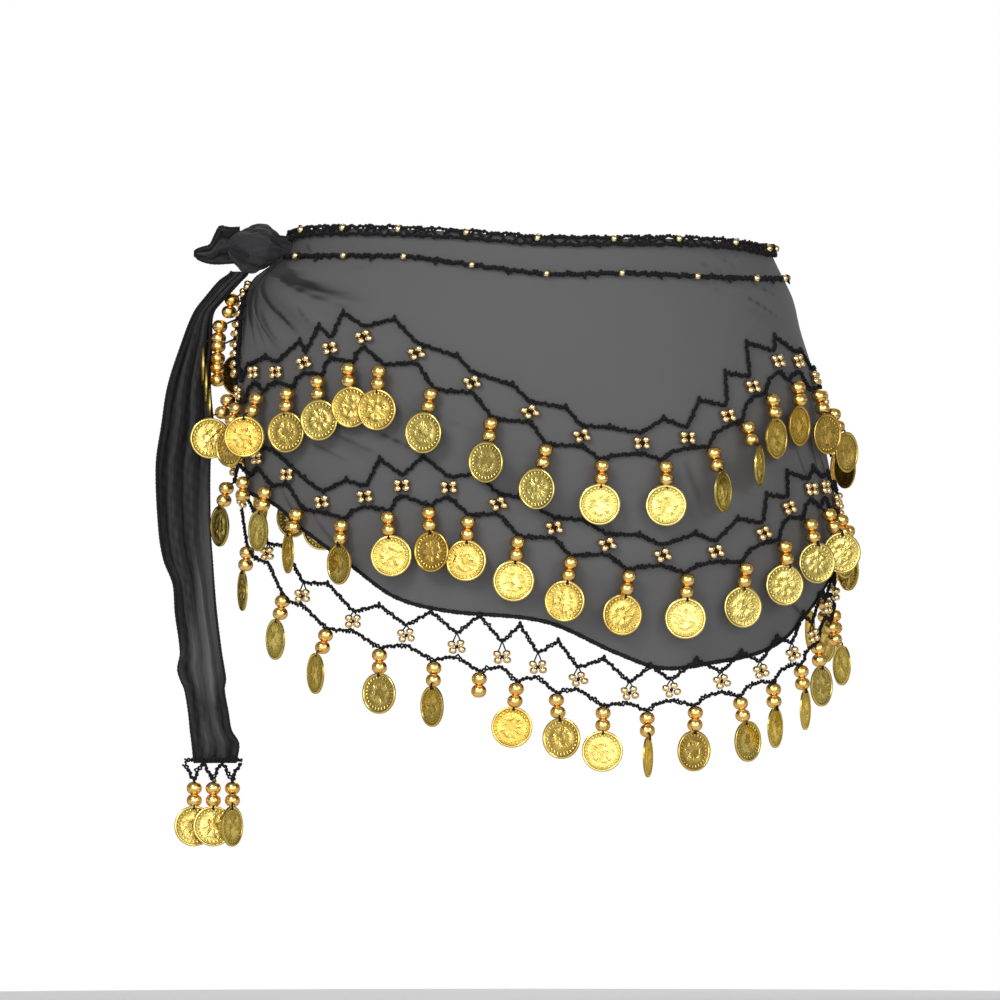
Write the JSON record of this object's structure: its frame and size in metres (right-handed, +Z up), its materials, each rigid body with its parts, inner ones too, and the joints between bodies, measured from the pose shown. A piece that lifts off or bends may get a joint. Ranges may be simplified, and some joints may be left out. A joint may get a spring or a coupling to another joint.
{
  "type": "belly dance hip scarf",
  "caption": "Sheer dark wrap in its worn, hollow form, tied at the side, with beaded waist chains and crocheted coin trim on the cloth and along the hem.",
  "frame": {"origin": "centre of the waist ring, at the height of the top band, where a wearer's waist holds the scarf", "axes": "+Z up; the front that the picture shows faces -Y; the knot and tie ends are at -X"},
  "size_m": [0.3867, 0.2667, 0.3406],
  "materials": {
    "chiffon": "sheer matt weave",
    "dark_cord": "crocheted cord",
    "gold": "gold-coloured beads and stamped coins on dark cord"
  },
  "bodies": {
    "root": {"wrap_front": "chiffon", "wrap_back": "chiffon", "side_knot": "chiffon", "short_tie_end": "chiffon", "long_tie_end": "chiffon", "waist_chain_upper": "dark_cord", "waist_chain_lower": "dark_cord", "coin_trim_upper": "gold", "coin_trim_middle": "gold", "coin_trim_lower": "gold", "coin_trim_tie_end": "gold"}
  },
  "joints": []
}
